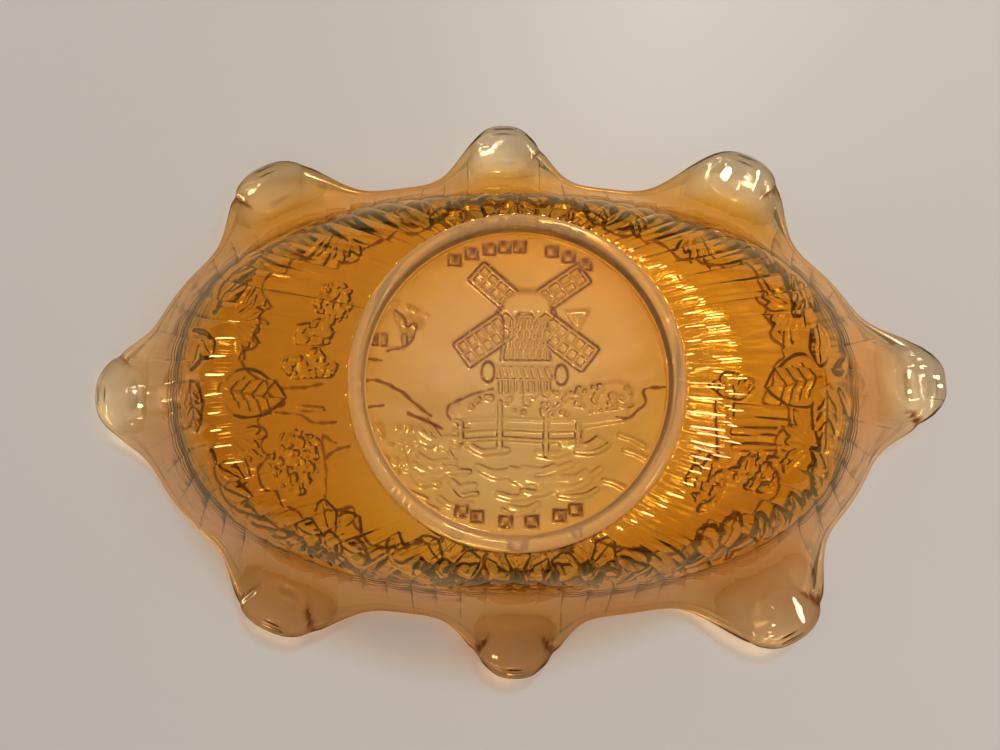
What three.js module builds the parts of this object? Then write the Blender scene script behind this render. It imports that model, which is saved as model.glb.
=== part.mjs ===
// Oval pressed-glass bowl with a fluted wall and a rim drawn out into eight points.
//
// The bowl lies rim down with its foot uppermost. Z = 0 is the surface that the rim's hollows rest
// on, X runs along the bowl, Y across it, and the origin is under the middle of its overall length
// and width. The skin itself is worked out about the foot's centre.
// Sizes are in millimetres and angles in degrees.
//
// The bowl is one pressing, so its bodies are the regions of that pressing: the base disc, the foot
// ring, eight panels of the fluted wall and the eight drawn-out lengths of the rim. Every region
// follows one skin, which leaves the foot circle, runs down the wall to an oval border, and turns
// out through the band to the rim. A place on it is (turn, run): turn goes once round from 0 to 1,
// and run is 0 at the foot circle, 1 at the border and 2 at the rim.
import * as THREE from 'three';

// Foot and base
const bowlHeight = 45;
const footOuterRadius = 32.8;
const footWidth = 2.9;
const footHeight = 3.5;
const footRounding = 0.8;
const baseThickness = 4.2;

// Wall
const wallThickness = 3.6;
const wallStartSlope = 12;
const wallStartPull = 0.36;
const wallEndPull = 0.34;

// Border oval, where the wall turns out into the band
const borderHalfLength = 77;
const borderHalfWidth = 45.2;
const borderFullness = 2.3;
const borderHeight = 20.5;
const borderSlopeAtEnds = 50;
const borderSlopeAtSides = 66;

// Band and rim. A reach is how far the rim stands out from the border, seen from above.
const endHollowReach = 14.5;
const sideHollowReach = 9;
const endPointReach = 25.2;
const sidePointReach = 20.7;
const cornerPointReach = 22.5;
const hollowRimSlope = 54;
const pointRimSlope = 4;
const pointClearance = 4;
const straightPointHalfWidth = 12.4;
const cornerPointHalfWidth = 15.4;
const pointFullness = 2.7;
const bandPull = 0.38;

// Flutes
const flutesPerQuarter = 18;
const cornerPointFlute = 9;
const endPanelFlutes = 5;
const sidePanelFlutes = 4;
const wallFluteDepth = 0.5;
const wallFluteStartShare = 0.5;
const bandFluteDepth = 0.25;

// Joints between regions, and fineness of the facets
const seamGap = 0.4;
const wallRows = 5;
const bandRows = 5;
const rimEdgeSteps = 4;
const columnsPerFlute = 2;
const footSegments = 72;
const footRoundSteps = 2;
const tableSteps = 1440;
const slopeProbe = 1e-4;

const quarter = flutesPerQuarter;
const half = 2 * quarter;
const threeQuarters = 3 * quarter;
const fluteCount = 4 * quarter;
const baseHeight = bowlHeight - footHeight;
const rimRadius = wallThickness / 2;
const meanReach = (sideHollowReach + endPointReach) / 2;
const wallStartRadius = footOuterRadius + seamGap;

const radians = THREE.MathUtils.degToRad;
const lerp = THREE.MathUtils.lerp;

// ---------- The border oval ----------

function signedPower(value, power) {
  return Math.sign(value) * Math.abs(value) ** power;
}

// A place on the border oval with its outward normal, by the oval's own angle.
function borderAtAngle(angle) {
  const x = borderHalfLength * signedPower(Math.cos(angle), 2 / borderFullness);
  const y = borderHalfWidth * signedPower(Math.sin(angle), 2 / borderFullness);
  const normal = new THREE.Vector2(
    signedPower(x / borderHalfLength, borderFullness - 1) / borderHalfLength,
    signedPower(y / borderHalfWidth, borderFullness - 1) / borderHalfWidth,
  ).normalize();
  return { point: new THREE.Vector2(x, y), normal };
}

// Distance run along a closed plan curve, one entry for each step of the oval's angle.
function runningLength(planCurve) {
  const lengths = [0];
  let last = planCurve(0);
  for (let step = 1; step <= tableSteps; step += 1) {
    const next = planCurve((2 * Math.PI * step) / tableSteps);
    lengths.push(lengths[step - 1] + next.distanceTo(last));
    last = next;
  }
  return lengths;
}

const borderLengths = runningLength((angle) => borderAtAngle(angle).point);
const rimLengths = runningLength((angle) => {
  const { point, normal } = borderAtAngle(angle);
  return point.clone().addScaledVector(normal, meanReach);
});
const rimLength = rimLengths[tableSteps];

// The table step, with its fraction, at which the border has run a given share of its length.
function stepAtTurn(turn) {
  const wrapped = turn - Math.floor(turn);
  const target = wrapped * borderLengths[tableSteps];
  let low = 0;
  let high = tableSteps;
  while (high - low > 1) {
    const middle = (low + high) >> 1;
    if (borderLengths[middle] > target) high = middle;
    else low = middle;
  }
  return low + (target - borderLengths[low]) / (borderLengths[high] - borderLengths[low]);
}

function borderAtTurn(turn) {
  return borderAtAngle((2 * Math.PI * stepAtTurn(turn)) / tableSteps);
}

function rimDistanceAtTurn(turn) {
  const step = stepAtTurn(turn);
  const whole = Math.min(Math.floor(step), tableSteps - 1);
  return lerp(rimLengths[whole], rimLengths[whole + 1], step - whole);
}

// ---------- The eight points of the rim ----------

// The points are drawn out by hand, so each is a little off its even place, by some part of a
// flute, and reaches a little more or less than its kind.
const rimPoints = [
  rimPoint('right', 0, 0.5, endPointReach + 2.5, straightPointHalfWidth, endPanelFlutes),
  rimPoint('back_right', cornerPointFlute, 0, cornerPointReach + 1.5, cornerPointHalfWidth),
  rimPoint('back', quarter, 0.5, sidePointReach + 0.4, straightPointHalfWidth, sidePanelFlutes),
  rimPoint('back_left', half - cornerPointFlute, 0.8, cornerPointReach - 0.9, cornerPointHalfWidth),
  rimPoint('left', half, 0.2, endPointReach - 2.5, straightPointHalfWidth, endPanelFlutes),
  rimPoint('front_left', half + cornerPointFlute, 0, cornerPointReach - 3, cornerPointHalfWidth),
  rimPoint('front', threeQuarters, 0.2, sidePointReach - 0.4, straightPointHalfWidth, sidePanelFlutes),
  rimPoint('front_right', fluteCount - cornerPointFlute, 1.2, cornerPointReach + 2.5, cornerPointHalfWidth),
];

function rimPoint(place, evenFlute, shift, reach, halfWidth, panelFlutes) {
  return { place, evenFlute, turn: (evenFlute + shift) / fluteCount, reach, halfWidth, panelFlutes };
}

// How much of each point there is at a turn: 1 at its crest, falling to 0 in the hollows.
function pointShare(rimPoint, turn) {
  const apart = Math.abs(rimDistanceAtTurn(turn) - rimDistanceAtTurn(rimPoint.turn));
  const distance = Math.min(apart, rimLength - apart);
  return Math.exp(-((distance / rimPoint.halfWidth) ** pointFullness));
}

// The rim's reach beyond the border, its slope and its height at a turn.
function rimAtTurn(turn) {
  const { normal } = borderAtTurn(turn);
  const hollowReach = lerp(sideHollowReach, endHollowReach, normal.x ** 2);
  let share = 0;
  let reach = hollowReach;
  for (const rimPoint of rimPoints) {
    const part = pointShare(rimPoint, turn);
    share += part;
    reach += part * (rimPoint.reach - hollowReach);
  }
  share = Math.min(share, 1);
  const slope = radians(lerp(hollowRimSlope, pointRimSlope, share));
  const clearance = lerp(0, pointClearance, share);
  const height = clearance + rimRadius * (1 + Math.cos(slope));
  return { reach, slope, height };
}

// ---------- The skin ----------

function withHeight(plan, height) {
  return new THREE.Vector3(plan.x, plan.y, height);
}

// A vector that runs outward along a plan direction and down at a slope.
function downhill(direction, slope, length) {
  return withHeight(direction, 0)
    .multiplyScalar(Math.cos(slope))
    .setZ(-Math.sin(slope))
    .multiplyScalar(length);
}

function borderSlopeAt(normal) {
  return radians(lerp(borderSlopeAtEnds, borderSlopeAtSides, normal.y ** 2));
}

function wallCurve(turn) {
  const border = borderAtTurn(turn);
  const footAngle = 2 * Math.PI * turn;
  const foot = new THREE.Vector2(Math.cos(footAngle), Math.sin(footAngle))
    .multiplyScalar(wallStartRadius);
  const outward = border.point.clone().sub(foot).normalize();
  const start = withHeight(foot, baseHeight);
  const end = withHeight(border.point, borderHeight);
  const span = start.distanceTo(end);
  const leave = downhill(outward, radians(wallStartSlope), wallStartPull * span);
  const arrive = downhill(border.normal, borderSlopeAt(border.normal), wallEndPull * span);
  return new THREE.CubicBezierCurve3(start, start.clone().add(leave), end.clone().sub(arrive), end);
}

function bandCurve(turn) {
  const border = borderAtTurn(turn);
  const rim = rimAtTurn(turn);
  const start = withHeight(border.point, borderHeight);
  const rimPlan = border.point.clone().addScaledVector(border.normal, rim.reach);
  const end = withHeight(rimPlan, rim.height);
  const span = start.distanceTo(end);
  const leave = downhill(border.normal, borderSlopeAt(border.normal), bandPull * span);
  const arrive = downhill(border.normal, rim.slope, bandPull * span);
  return new THREE.CubicBezierCurve3(start, start.clone().add(leave), end.clone().sub(arrive), end);
}

function skinPoint(turn, run) {
  if (run <= 1) return wallCurve(turn).getPoint(run);
  return bandCurve(turn).getPoint(run - 1);
}

// The skin's point, its outward normal and the direction in which it runs down.
function skinAt(turn, run) {
  const before = Math.max(run - slopeProbe, 0);
  const after = Math.min(run + slopeProbe, 2);
  const down = skinPoint(turn, after).sub(skinPoint(turn, before)).normalize();
  const around = skinPoint(turn + slopeProbe, run).sub(skinPoint(turn - slopeProbe, run));
  const normal = new THREE.Vector3().crossVectors(down, around).normalize();
  return { point: skinPoint(turn, run), normal, down };
}

// Flutes are shallow ribs: their grooves cut into the skin, and their crests lie on it.
function fluteCut(turn, run) {
  const acrossFlute = turn * fluteCount - Math.floor(turn * fluteCount);
  const groove = (2 * acrossFlute - 1) ** 2;
  if (run <= 1) return wallFluteDepth * groove * Math.min(1, run + wallFluteStartShare);
  return lerp(lerp(wallFluteDepth, bandFluteDepth, run - 1), 0, (run - 1) ** 2) * groove;
}

function outerPoint(turn, run) {
  const { point, normal } = skinAt(turn, run);
  return point.addScaledVector(normal, -fluteCut(turn, run));
}

function innerPoint(turn, run) {
  const { point, normal } = skinAt(turn, run);
  return point.addScaledVector(normal, -wallThickness);
}

// The half-round edge of the rim, between the outer and inner faces.
function rimEdgePoints(turn) {
  const { point, normal, down } = skinAt(turn, 2);
  const centre = point.clone().addScaledVector(normal, -rimRadius);
  const points = [];
  for (let step = 1; step < rimEdgeSteps; step += 1) {
    const angle = (Math.PI * step) / rimEdgeSteps;
    points.push(
      centre.clone()
        .addScaledVector(normal, rimRadius * Math.cos(angle))
        .addScaledVector(down, rimRadius * Math.sin(angle)),
    );
  }
  return points;
}

// ---------- Closed bodies ----------

function bodyGeometry(points, triangles) {
  const geometry = new THREE.BufferGeometry();
  const positions = points.flatMap((point) => [point.x, point.y, point.z]);
  geometry.setAttribute('position', new THREE.Float32BufferAttribute(positions, 3));
  geometry.setIndex(triangles);
  geometry.computeVertexNormals();
  return geometry;
}

function quad(triangles, a, b, c, d) {
  triangles.push(a, b, c, a, c, d);
}

// A fan closes a flat ring of points that is listed anticlockwise as seen from outside.
function fan(triangles, ring) {
  for (let index = 1; index < ring.length - 1; index += 1) {
    triangles.push(ring[0], ring[index], ring[index + 1]);
  }
}

// A closed body from a row of closed loops, each with the same number of points. The end loops are
// covered across the thickness, between their outer rows and their inner rows.
function loftedBody(loops, outerCount) {
  const loopSize = loops[0].length;
  const triangles = [];
  for (let loop = 0; loop < loops.length - 1; loop += 1) {
    for (let index = 0; index < loopSize; index += 1) {
      const next = (index + 1) % loopSize;
      const here = loop * loopSize;
      const beyond = here + loopSize;
      quad(triangles, here + index, here + next, beyond + next, beyond + index);
    }
  }
  const lastLoop = (loops.length - 1) * loopSize;
  const edgeCount = loopSize - 2 * outerCount;
  for (let row = 0; row < outerCount - 1; row += 1) {
    const innerRow = loopSize - 1 - row;
    quad(triangles, row, innerRow, innerRow - 1, row + 1);
    quad(
      triangles,
      lastLoop + row,
      lastLoop + row + 1,
      lastLoop + innerRow - 1,
      lastLoop + innerRow,
    );
  }
  if (edgeCount > 0) {
    const edge = Array.from({ length: edgeCount + 2 }, (_, index) => outerCount - 1 + index);
    fan(triangles, edge.slice().reverse());
    fan(triangles, edge.map((index) => lastLoop + index));
  }
  return bodyGeometry(loops.flat(), triangles);
}

// The turn of a panel's side, drawn back so that half the seam lies on each side of the line.
function drawnBack(turn, run, sense) {
  const step = skinPoint(turn + slopeProbe, run).distanceTo(skinPoint(turn, run));
  return turn + (sense * (seamGap / 2) * slopeProbe) / step;
}

// How much of the run a half seam takes up at the border.
function seamRun(turn, run, sense) {
  const step = skinPoint(turn, run + sense * slopeProbe).distanceTo(skinPoint(turn, run));
  return run + (sense * (seamGap / 2) * slopeProbe) / step;
}

// One region of the skin between two flute lines. Its loops go down the outer face, round the
// rim's edge if it has one, and back up the inner face.
function skinRegion(firstFlute, lastFlute, firstRun, lastRun, rows) {
  const columns = (lastFlute - firstFlute) * columnsPerFlute;
  const loops = [];
  for (let column = 0; column <= columns; column += 1) {
    const line = (firstFlute + column / columnsPerFlute) / fluteCount;
    const sense = column === 0 ? 1 : column === columns ? -1 : 0;
    const from = firstRun === 1 ? seamRun(line, 1, 1) : firstRun;
    const to = lastRun === 1 ? seamRun(line, 1, -1) : lastRun;
    const outer = [];
    const inner = [];
    for (let row = 0; row <= rows; row += 1) {
      const run = lerp(from, to, row / rows);
      const turn = sense === 0 ? line : drawnBack(line, run, sense);
      outer.push(outerPoint(turn, run));
      inner.unshift(innerPoint(turn, run));
    }
    const rimTurn = sense === 0 ? line : drawnBack(line, 2, sense);
    const edge = lastRun === 2 ? rimEdgePoints(rimTurn) : [];
    loops.push([...outer, ...edge, ...inner]);
  }
  return loftedBody(loops, rows + 1);
}

// The base disc ends on a cone that faces the panels' upper ends, square to the wall's first slope.
function baseGeometry() {
  const slope = radians(wallStartSlope);
  const innerRadius = footOuterRadius - wallThickness * Math.sin(slope);
  const innerHeight = baseHeight - wallThickness * Math.cos(slope);
  const profile = [
    new THREE.Vector2(0, baseHeight - baseThickness),
    new THREE.Vector2(innerRadius / 2, baseHeight - baseThickness),
    new THREE.Vector2(innerRadius, innerHeight),
    new THREE.Vector2(footOuterRadius, baseHeight),
    new THREE.Vector2(footOuterRadius - footWidth, baseHeight),
    new THREE.Vector2(0, baseHeight),
  ];
  return latheBody(profile);
}

function footGeometry() {
  const innerRadius = footOuterRadius - footWidth;
  const profile = [
    new THREE.Vector2(innerRadius, baseHeight + seamGap),
    new THREE.Vector2(footOuterRadius, baseHeight + seamGap),
    ...roundedCorner(footOuterRadius - footRounding, 0),
    ...roundedCorner(innerRadius + footRounding, Math.PI / 2),
    new THREE.Vector2(innerRadius, baseHeight + seamGap),
  ];
  return latheBody(profile);
}

// The upper corners of the foot ring, each a quarter turn from its starting angle.
function roundedCorner(centreRadius, startAngle) {
  const centreHeight = bowlHeight - footRounding;
  return Array.from({ length: footRoundSteps + 1 }, (_, step) => {
    const angle = startAngle + (Math.PI / 2) * (step / footRoundSteps);
    return new THREE.Vector2(
      centreRadius + footRounding * Math.cos(angle),
      centreHeight + footRounding * Math.sin(angle),
    );
  });
}

// A profile in (radius, height) turned about the Z axis.
function latheBody(profile) {
  const geometry = new THREE.LatheGeometry(profile, footSegments);
  return geometry.rotateX(Math.PI / 2);
}

// ---------- Glass of each region ----------

const baseGlass = { color: 0xd9a658, roughness: 0.06, metalness: 0.1 };
const footGlass = { color: 0xd59a52, roughness: 0.08, metalness: 0.15 };
const wallGlass = { color: 0xb9731c, roughness: 0.08, metalness: 0.2 };
const rimGlass = { color: 0xd2a377, roughness: 0.06, metalness: 0.15 };

function part(name, geometry, glass) {
  const mesh = new THREE.Mesh(geometry, new THREE.MeshStandardMaterial(glass));
  mesh.name = name;
  return mesh;
}

// Flute lines on which the panels meet, halfway round each hollow of the rim.
function panelSides(index) {
  const { evenFlute, panelFlutes } = rimPoints[index];
  if (panelFlutes) return [evenFlute - panelFlutes, evenFlute + panelFlutes];
  const before = rimPoints[index - 1];
  const after = rimPoints[(index + 1) % rimPoints.length];
  const afterFlute = after.evenFlute === 0 ? fluteCount : after.evenFlute;
  return [before.evenFlute + before.panelFlutes, afterFlute - after.panelFlutes];
}

const bowl = new THREE.Group();
bowl.add(part('base_disc', baseGeometry(), baseGlass));
bowl.add(part('foot_ring', footGeometry(), footGlass));
rimPoints.forEach((rimPoint, index) => {
  const [first, last] = panelSides(index);
  const wall = skinRegion(first, last, 0, 1, wallRows);
  const band = skinRegion(first, last, 1, 2, bandRows);
  bowl.add(part(`wall_${rimPoint.place}`, wall, wallGlass));
  bowl.add(part(`rim_point_${rimPoint.place}`, band, rimGlass));
});

// The points aren't even, so the middle of the whole bowl is a little off the foot's centre.
const overall = new THREE.Box3().setFromObject(bowl);
const middle = overall.getCenter(new THREE.Vector3());
bowl.position.set(-middle.x, -middle.y, -overall.min.z);

export default bowl;
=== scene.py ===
"""Looks of the oval pressed-glass bowl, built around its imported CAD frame.

The bowl lies rim down with its foot uppermost. Lengths are in millimetres about the foot's centre,
with Z up from the table, until a mesh is made, which is in the frame's metres. Angles are in degrees.

A place on the glass skin is (turn, run): turn goes once round from 0 to 1, and run is 0 at the foot
circle, 1 at the border oval and 2 at the rim. The pressed picture is worked out in plan, as a map of
its height, and is pressed into the inner face.
"""

import math
from collections import namedtuple

import bpy
import numpy as np
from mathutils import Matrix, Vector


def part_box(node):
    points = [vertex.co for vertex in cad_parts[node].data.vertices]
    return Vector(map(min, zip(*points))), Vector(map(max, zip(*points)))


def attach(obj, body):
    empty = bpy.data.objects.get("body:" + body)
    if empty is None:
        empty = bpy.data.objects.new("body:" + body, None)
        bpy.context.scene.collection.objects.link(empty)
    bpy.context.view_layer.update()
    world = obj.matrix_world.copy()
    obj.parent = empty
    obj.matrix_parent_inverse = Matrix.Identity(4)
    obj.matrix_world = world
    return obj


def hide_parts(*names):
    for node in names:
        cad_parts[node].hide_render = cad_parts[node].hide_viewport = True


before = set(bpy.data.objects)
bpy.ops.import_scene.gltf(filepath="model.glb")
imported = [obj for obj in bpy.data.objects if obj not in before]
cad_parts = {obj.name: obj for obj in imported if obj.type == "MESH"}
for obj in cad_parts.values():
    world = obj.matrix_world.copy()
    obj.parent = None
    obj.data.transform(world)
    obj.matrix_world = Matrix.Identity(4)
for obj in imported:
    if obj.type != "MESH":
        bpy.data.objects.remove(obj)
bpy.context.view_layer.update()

METRES = 0.001

# ---------- Sizes ----------

# From the frame
foot_low, foot_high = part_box("foot_ring")
base_low, base_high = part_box("base_disc")
FOOT_X = (foot_low.x + foot_high.x) / 2 / METRES
FOOT_Y = (foot_low.y + foot_high.y) / 2 / METRES
BOWL_HEIGHT = foot_high.z / METRES
FOOT_RADIUS = (foot_high.x - foot_low.x) / 2 / METRES
BASE_HEIGHT = base_high.z / METRES
BASE_THICKNESS = (base_high.z - base_low.z) / METRES

# The driving dimensions of the skin, the same as the CAD's
FOOT_WIDTH = 2.9
SEAM = 0.4
WALL = 3.6
WALL_START_SLOPE = 12
WALL_START_PULL = 0.36
WALL_END_PULL = 0.34
BORDER_HALF_LENGTH = 77
BORDER_HALF_WIDTH = 45.2
BORDER_FULLNESS = 2.3
BORDER_HEIGHT = 20.5
BORDER_SLOPE_ENDS = 50
BORDER_SLOPE_SIDES = 66
END_HOLLOW_REACH = 14.5
SIDE_HOLLOW_REACH = 9
END_POINT_REACH = 25.2
SIDE_POINT_REACH = 20.7
CORNER_POINT_REACH = 22.5
HOLLOW_RIM_SLOPE = 54
POINT_RIM_SLOPE = 4
POINT_CLEARANCE = 4
STRAIGHT_HALF_WIDTH = 12.4
CORNER_HALF_WIDTH = 15.4
POINT_FULLNESS = 2.7
BAND_PULL = 0.38
QUARTER = 18
FLUTES = 4 * QUARTER
CORNER_FLUTE = 9
END_PANEL_FLUTES = 5
SIDE_PANEL_FLUTES = 4

START_RADIUS = FOOT_RADIUS + SEAM
RIM_RADIUS = WALL / 2
MEAN_REACH = (SIDE_HOLLOW_REACH + END_POINT_REACH) / 2

# Kinds of rim point: reach, half width, and the flutes on each side of its middle in an even panel
END = (END_POINT_REACH, STRAIGHT_HALF_WIDTH, END_PANEL_FLUTES)
SIDE = (SIDE_POINT_REACH, STRAIGHT_HALF_WIDTH, SIDE_PANEL_FLUTES)
CORNER = (CORNER_POINT_REACH, CORNER_HALF_WIDTH, None)

RimPoint = namedtuple(
    "RimPoint", "place flute shift reach half_width panel_flutes clearness fold_before fold_after"
)
# The eight points of the rim: place, flute line at the middle of its panel, how far its crest is
# from there in flutes, kind, and how much further than its kind it reaches. Then how clear its
# glass is, and how deep the folds before and after its crest are, which also sets how much
# painted shade darkens them.
RIM_POINTS = [
    RimPoint(place, flute, shift, kind[0] + further, *kind[1:], *glass)
    for place, flute, shift, kind, further, *glass in (
        ("right", 0, 0.5, END, 2.5, 0.8, 1.0, 0.2),
        ("back_right", CORNER_FLUTE, 0, CORNER, 1.5, 0.9, 0.9, 0),
        ("back", QUARTER, 0.5, SIDE, 0.4, 1, 0.7, 0),
        ("back_left", 2 * QUARTER - CORNER_FLUTE, 0.8, CORNER, -0.9, 0.6, 0.6, 0.9),
        ("left", 2 * QUARTER, 0.2, END, -2.5, 0.9, 0.7, 0.4),
        ("front_left", 2 * QUARTER + CORNER_FLUTE, 0, CORNER, -3, 0.15, 0.8, 1.0),
        ("front", 3 * QUARTER, 0.2, SIDE, -0.4, 0.15, 1.0, 1.0),
        ("front_right", FLUTES - CORNER_FLUTE, 1.2, CORNER, 2.5, 0.4, 0.3, 1.0),
    )
]

# Details that only the visual model has, and its flutes, which are shallower than the CAD's
WALL_FLUTE_DEPTH = 0.32
BAND_FLUTE_DEPTH = 0.1
FILLET = 0.35
BORDER_LINES = (-1.9, 0.0, 1.9)
BORDER_LINE_WIDTH = 0.17
BORDER_LINE_DEPTH = 0.07
FLUTE_LINE_WIDTH = 0.028
FLUTE_LINE_DEPTH = 0.06
TIP_SWELL = 1.3
TIP_LIFT = 0.5
TIP_HALF_WIDTH = 6.5
TIP_HALF_LENGTH = 5.5
TIP_MIDDLE = 3.5
FOLD_DEPTH = 0.9
FOLD_WIDTH = 0.9
FOLD_FROM_CREST = 9.5
FOLD_LEAN = 0.45
MOULD_SEAM_HEIGHT = 0.1
MOULD_SEAM_WIDTH = 0.35
BEVEL = 0.7
PLATE = 0.9
PICTURE_BLUR = 0.16
# Dark film and painted shade on the picture's steep sides: its share, the steepness where it starts and
# how much more fills it
SIDE_FILM_AND_SHADE = 0.8
SIDE_FILM_AND_SHADE_START = 0.45
SIDE_FILM_AND_SHADE_SPAN = 1.7
BRICK_LENGTH = 9
BRICK_DARKENING = 0.34
# Turns where the rows of darker patches are deepest, how far they reach, and their share
BRICK_ROWS = ((0.53, 0.12, 1), (0.93, 0.08, 0.6))
STREAKS_COARSE = 2 * FLUTES
STREAKS_FINE = 241
STREAK_DEPTH = 0.035
CLEAR_WATER = 0.75

# Fineness of the meshes
TABLE_STEPS = 3600
PROBE = 1e-4
OUTER_COLUMNS = (0, 0.02, 0.04, 0.07, 0.15, 0.3, 0.5, 0.7, 0.85, 0.93, 0.96, 0.98)
INNER_COLUMNS = tuple(np.arange(16) / 16)
WALL_OUTER_PITCH = 0.8
WALL_INNER_PITCH = 0.28
BAND_PITCH = 0.45
EDGE_STEPS = 12
DISC_CELLS = 280
DISC_TOP_CELLS = 90
RING_COLUMNS = 720
MAP_PITCH = 0.1


def mix(a, b, share):
    return a + (b - a) * share


def smooth(value):
    """0 to 1 with level ends, for a value that runs from 0 to 1."""
    value = np.clip(value, 0, 1)
    return value * value * (3 - 2 * value)


def bell(distance, width):
    """1 at no distance, fading to 0 over about twice the width."""
    return np.exp(-((distance / width) ** 2))


# ---------- The skin ----------

def signed_power(value, power):
    return np.sign(value) * np.abs(value) ** power


def border_at_angle(angle):
    """Points of the border oval with their outward normals, by the oval's own angle in radians."""
    x = BORDER_HALF_LENGTH * signed_power(np.cos(angle), 2 / BORDER_FULLNESS)
    y = BORDER_HALF_WIDTH * signed_power(np.sin(angle), 2 / BORDER_FULLNESS)
    normal = np.stack(
        [
            signed_power(x / BORDER_HALF_LENGTH, BORDER_FULLNESS - 1) / BORDER_HALF_LENGTH,
            signed_power(y / BORDER_HALF_WIDTH, BORDER_FULLNESS - 1) / BORDER_HALF_WIDTH,
        ],
        axis=-1,
    )
    normal /= np.linalg.norm(normal, axis=-1, keepdims=True)
    return np.stack([x, y], axis=-1), normal


def running_length(points):
    """Length along a row of points, or along each of several rows, up to each point."""
    steps = np.linalg.norm(np.diff(points, axis=-2), axis=-1)
    start = np.zeros(steps.shape[:-1] + (1,))
    return np.concatenate([start, np.cumsum(steps, axis=-1)], axis=-1)


TABLE_ANGLES = np.linspace(0, 2 * math.pi, TABLE_STEPS + 1)
table_points, table_normals = border_at_angle(TABLE_ANGLES)
BORDER_LENGTHS = running_length(table_points)
RIM_LENGTHS = running_length(table_points + MEAN_REACH * table_normals)


def angle_at_turn(turn):
    return np.interp(turn % 1.0 * BORDER_LENGTHS[-1], BORDER_LENGTHS, TABLE_ANGLES)


def rim_distance(turn):
    return np.interp(angle_at_turn(turn), TABLE_ANGLES, RIM_LENGTHS)


def past_crest(turn, rim_point):
    """How far along the rim a turn is past a point's crest, negative before it."""
    crest = rim_distance(np.array((rim_point.flute + rim_point.shift) / FLUTES))
    around = RIM_LENGTHS[-1]
    return (rim_distance(turn) - crest + around / 2) % around - around / 2


def point_shares(turn):
    """How much of each of the eight points there is at a turn: 1 at its crest, 0 in the hollows."""
    return [
        np.exp(-((np.abs(past_crest(turn, rim_point)) / rim_point.half_width) ** POINT_FULLNESS))
        for rim_point in RIM_POINTS
    ]


def rim_at_turn(turn, normal):
    """The rim's reach beyond the border, its slope in radians and its height."""
    hollow_reach = mix(SIDE_HOLLOW_REACH, END_HOLLOW_REACH, normal[..., 0] ** 2)
    share = 0
    reach = hollow_reach
    for part, rim_point in zip(point_shares(turn), RIM_POINTS):
        share = share + part
        reach = reach + part * (rim_point.reach - hollow_reach)
    share = np.minimum(share, 1)
    slope = np.radians(mix(HOLLOW_RIM_SLOPE, POINT_RIM_SLOPE, share))
    height = POINT_CLEARANCE * share + RIM_RADIUS * (1 + np.cos(slope))
    return reach, slope, height


def with_height(plan, height):
    height = np.broadcast_to(height, plan.shape[:-1])
    return np.concatenate([plan, height[..., None]], axis=-1)


def downhill(direction, slope, length):
    """Vectors that run outward along a plan direction and down at a slope in radians."""
    run_out = direction * (np.cos(slope) * length)[..., None]
    return with_height(run_out, -np.sin(slope) * length)


def border_slope(normal):
    return np.radians(mix(BORDER_SLOPE_ENDS, BORDER_SLOPE_SIDES, normal[..., 1] ** 2))


def wall_handles(turn):
    border, normal = border_at_angle(angle_at_turn(turn))
    around = 2 * math.pi * turn
    foot = START_RADIUS * np.stack([np.cos(around), np.sin(around)], axis=-1)
    outward = border - foot
    outward = outward / np.linalg.norm(outward, axis=-1, keepdims=True)
    start = with_height(foot, BASE_HEIGHT)
    end = with_height(border, BORDER_HEIGHT)
    span = np.linalg.norm(end - start, axis=-1)
    first_slope = np.full_like(span, math.radians(WALL_START_SLOPE))
    leave = downhill(outward, first_slope, WALL_START_PULL * span)
    arrive = downhill(normal, border_slope(normal), WALL_END_PULL * span)
    return start, start + leave, end - arrive, end


def band_handles(turn):
    border, normal = border_at_angle(angle_at_turn(turn))
    reach, slope, height = rim_at_turn(turn, normal)
    start = with_height(border, BORDER_HEIGHT)
    end = with_height(border + normal * reach[..., None], height)
    span = np.linalg.norm(end - start, axis=-1)
    leave = downhill(normal, border_slope(normal), BAND_PULL * span)
    arrive = downhill(normal, slope, BAND_PULL * span)
    return start, start + leave, end - arrive, end


def curve_point(handles, share):
    share = share[..., None]
    rest = 1 - share
    first, second, third, last = handles
    return (
        rest**3 * first
        + 3 * rest**2 * share * second
        + 3 * rest * share**2 * third
        + share**3 * last
    )


def skin_point(turn, run):
    """Points of the skin for arrays of turn and run. One call stays on one side of the border."""
    if run.max() <= 1:
        return curve_point(wall_handles(turn), run)
    return curve_point(band_handles(turn), run - 1)


def unit(vector):
    return vector / np.linalg.norm(vector, axis=-1, keepdims=True)


def skin_at(turn, run):
    """Points of the skin, their outward normals and the directions in which the skin runs down."""
    edge = 1.0 if run.max() <= 1 else 2.0
    after = np.minimum(run + PROBE, edge)
    before = np.maximum(run - PROBE, edge - 1)
    down = unit(skin_point(turn, after) - skin_point(turn, before))
    around = skin_point(turn + PROBE, run) - skin_point(turn - PROBE, run)
    return skin_point(turn, run), unit(np.cross(down, around)), down


def flute_cut(turn, run):
    """Depth of the grooves between flutes, whose crests lie on the skin."""
    across = turn * FLUTES - np.floor(turn * FLUTES)
    groove = (2 * across - 1) ** 2
    wall_depth = WALL_FLUTE_DEPTH * np.minimum(1, run + 0.5)
    band_depth = mix(mix(WALL_FLUTE_DEPTH, BAND_FLUTE_DEPTH, run - 1), 0, (run - 1) ** 2)
    from_line = np.minimum(across, 1 - across)
    line = bell(from_line, FLUTE_LINE_WIDTH) * smooth(run - 0.4) * smooth((1.85 - run) / 0.3)
    return np.where(run <= 1, wall_depth, band_depth) * groove + FLUTE_LINE_DEPTH * line


def line_cut(distance_from_border):
    """Depth of the three fine lines pressed along the border."""
    depth = 0
    for place in BORDER_LINES:
        depth = depth + bell(distance_from_border - place, BORDER_LINE_WIDTH)
    return BORDER_LINE_DEPTH * depth


# ---------- The pressed picture ----------

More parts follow.
